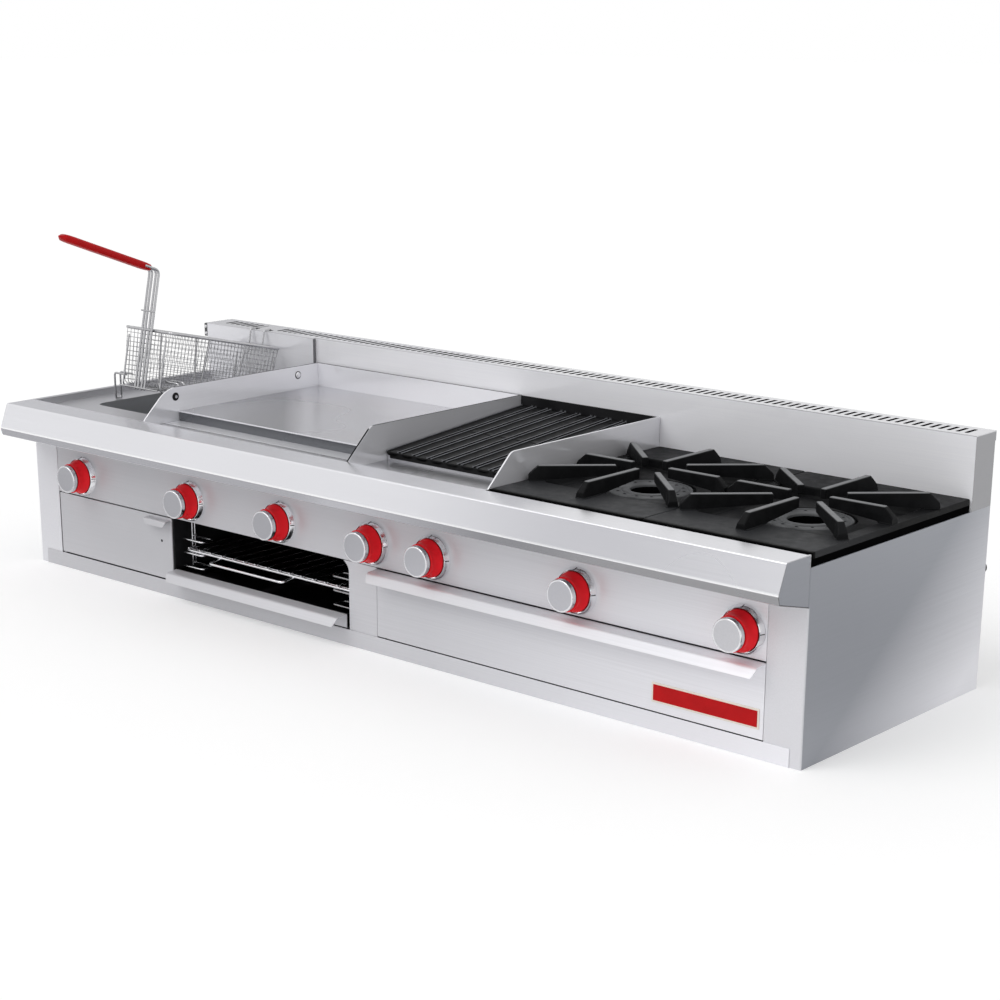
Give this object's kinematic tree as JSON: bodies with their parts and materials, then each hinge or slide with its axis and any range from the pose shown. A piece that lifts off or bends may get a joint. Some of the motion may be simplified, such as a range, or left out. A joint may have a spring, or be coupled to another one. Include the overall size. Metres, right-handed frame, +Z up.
{
  "type": "commercial gas range",
  "caption": "Wide countertop commercial gas range with a fryer, griddle, charbroiler and open burners on top, over a broiler cavity, a tray and a crumb drawer.",
  "frame": {"origin": "centre of the flat base, on the surface it stands on", "axes": "+X along the width to the operator's right, -Y towards the operator, +Z up"},
  "size_m": [1.8, 0.6279, 0.6629],
  "materials": {
    "stainless": "brushed stainless sheet",
    "bright_stainless": "polished stainless sheet",
    "griddle_steel": "ground steel plate",
    "tank_steel": "dull stainless tank",
    "cast_iron": "matt black iron",
    "black_enamel": "black heat-proof enamel",
    "burner_iron": "grey cast burner",
    "black_pipe": "black steel pipe",
    "brass": "turned brass",
    "bright_wire": "bright plated wire",
    "satin_metal": "satin turned metal",
    "red_plastic": "glossy red"
  },
  "bodies": {
    "cabinet": {"left_side_panel": "stainless", "right_side_panel": "stainless", "base_pan": "stainless", "rear_panel": "stainless", "kick_strip": "stainless", "control_panel": "stainless", "mid_post": "stainless", "front_rail": "bright_stainless", "bay_partitions": "stainless", "top_frame": "stainless", "fryer_deck": "stainless", "fryer_tank": "tank_steel", "fryer_flue": "stainless", "back_splash": "bright_stainless", "louver_cap": "bright_stainless", "front_deck": "stainless", "griddle_plate": "griddle_steel", "divider_guards": "bright_stainless", "grill_rear_wall": "black_enamel", "grill_firebox": "stainless", "grill_radiants": "cast_iron", "tube_burners": "burner_iron", "ring_burners": "burner_iron", "gas_manifold": "black_pipe", "gas_valves": "brass", "gas_inlet": "black_pipe", "fryer_fittings": "stainless", "knob_bezels": "satin_metal", "broiler_liner": "black_enamel", "broiler_burner": "burner_iron", "broiler_guides": "bright_wire", "drawer_runners": "stainless", "door_hinges": "bright_wire", "guard_bolts": "bright_wire"},
    "knob_1": {"knob_cap_1": "satin_metal", "knob_ring_1": "red_plastic"},
    "knob_2": {"knob_cap_2": "satin_metal", "knob_ring_2": "red_plastic"},
    "knob_3": {"knob_cap_3": "satin_metal", "knob_ring_3": "red_plastic"},
    "knob_4": {"knob_cap_4": "satin_metal", "knob_ring_4": "red_plastic"},
    "knob_5": {"knob_cap_5": "satin_metal", "knob_ring_5": "red_plastic"},
    "knob_6": {"knob_cap_6": "satin_metal", "knob_ring_6": "red_plastic"},
    "knob_7": {"knob_cap_7": "satin_metal", "knob_ring_7": "red_plastic"},
    "door": {"fryer_door": "stainless"},
    "rack": {"broiler_rack": "bright_wire"},
    "tray": {"broiler_tray": "bright_stainless"},
    "drawer": {"crumb_drawer": "bright_stainless", "drawer_badge": "red_plastic"},
    "grate": {"grill_grate": "cast_iron"},
    "left_top": {"burner_top_left": "cast_iron"},
    "right_top": {"burner_top_right": "cast_iron"},
    "basket": {"basket_frame": "bright_wire", "basket_mesh": "bright_wire", "basket_grip": "red_plastic"}
  },
  "joints": [
    {"name": "knob_1_turn", "type": "hinge", "parent": "cabinet", "child": "knob_1", "pos_m": [-0.75, -0.278, 0.1946], "axis": [0, -1, 0], "range_deg": [0, 270]},
    {"name": "knob_2_turn", "type": "hinge", "parent": "cabinet", "child": "knob_2", "pos_m": [-0.4375, -0.278, 0.1946], "axis": [0, -1, 0], "range_deg": [0, 90]},
    {"name": "knob_3_turn", "type": "hinge", "parent": "cabinet", "child": "knob_3", "pos_m": [-0.1965, -0.278, 0.1946], "axis": [0, -1, 0], "range_deg": [0, 90]},
    {"name": "knob_4_turn", "type": "hinge", "parent": "cabinet", "child": "knob_4", "pos_m": [0.0305, -0.278, 0.1946], "axis": [0, -1, 0], "range_deg": [0, 90]},
    {"name": "knob_5_turn", "type": "hinge", "parent": "cabinet", "child": "knob_5", "pos_m": [0.171, -0.278, 0.1946], "axis": [0, -1, 0], "range_deg": [0, 90]},
    {"name": "knob_6_turn", "type": "hinge", "parent": "cabinet", "child": "knob_6", "pos_m": [0.47825, -0.278, 0.1946], "axis": [0, -1, 0], "range_deg": [0, 90]},
    {"name": "knob_7_turn", "type": "hinge", "parent": "cabinet", "child": "knob_7", "pos_m": [0.79215, -0.278, 0.1946], "axis": [0, -1, 0], "range_deg": [0, 90]},
    {"name": "door_hinge", "type": "hinge", "parent": "cabinet", "child": "door", "pos_m": [-0.8265, -0.2538, 0.09], "axis": [0, 0, -1], "range_deg": [0, 110]},
    {"name": "rack_slide", "type": "slide", "parent": "cabinet", "child": "rack", "axis": [0, -1, 0], "range_m": [0, 0.3]},
    {"name": "tray_slide", "type": "slide", "parent": "cabinet", "child": "tray", "axis": [0, -1, 0], "range_m": [0, 0.38]},
    {"name": "drawer_slide", "type": "slide", "parent": "cabinet", "child": "drawer", "axis": [0, -1, 0], "range_m": [0, 0.38]},
    {"name": "grate_lift", "type": "slide", "parent": "cabinet", "child": "grate", "axis": [0, 0, 1], "range_m": [0, 0.15]},
    {"name": "left_top_lift", "type": "slide", "parent": "cabinet", "child": "left_top", "axis": [0, 0, 1], "range_m": [0, 0.15]},
    {"name": "right_top_lift", "type": "slide", "parent": "cabinet", "child": "right_top", "axis": [0, 0, 1], "range_m": [0, 0.15]},
    {"name": "basket_lift", "type": "slide", "parent": "cabinet", "child": "basket", "axis": [0, 0, 1], "range_m": [0, 0.25]}
  ]
}
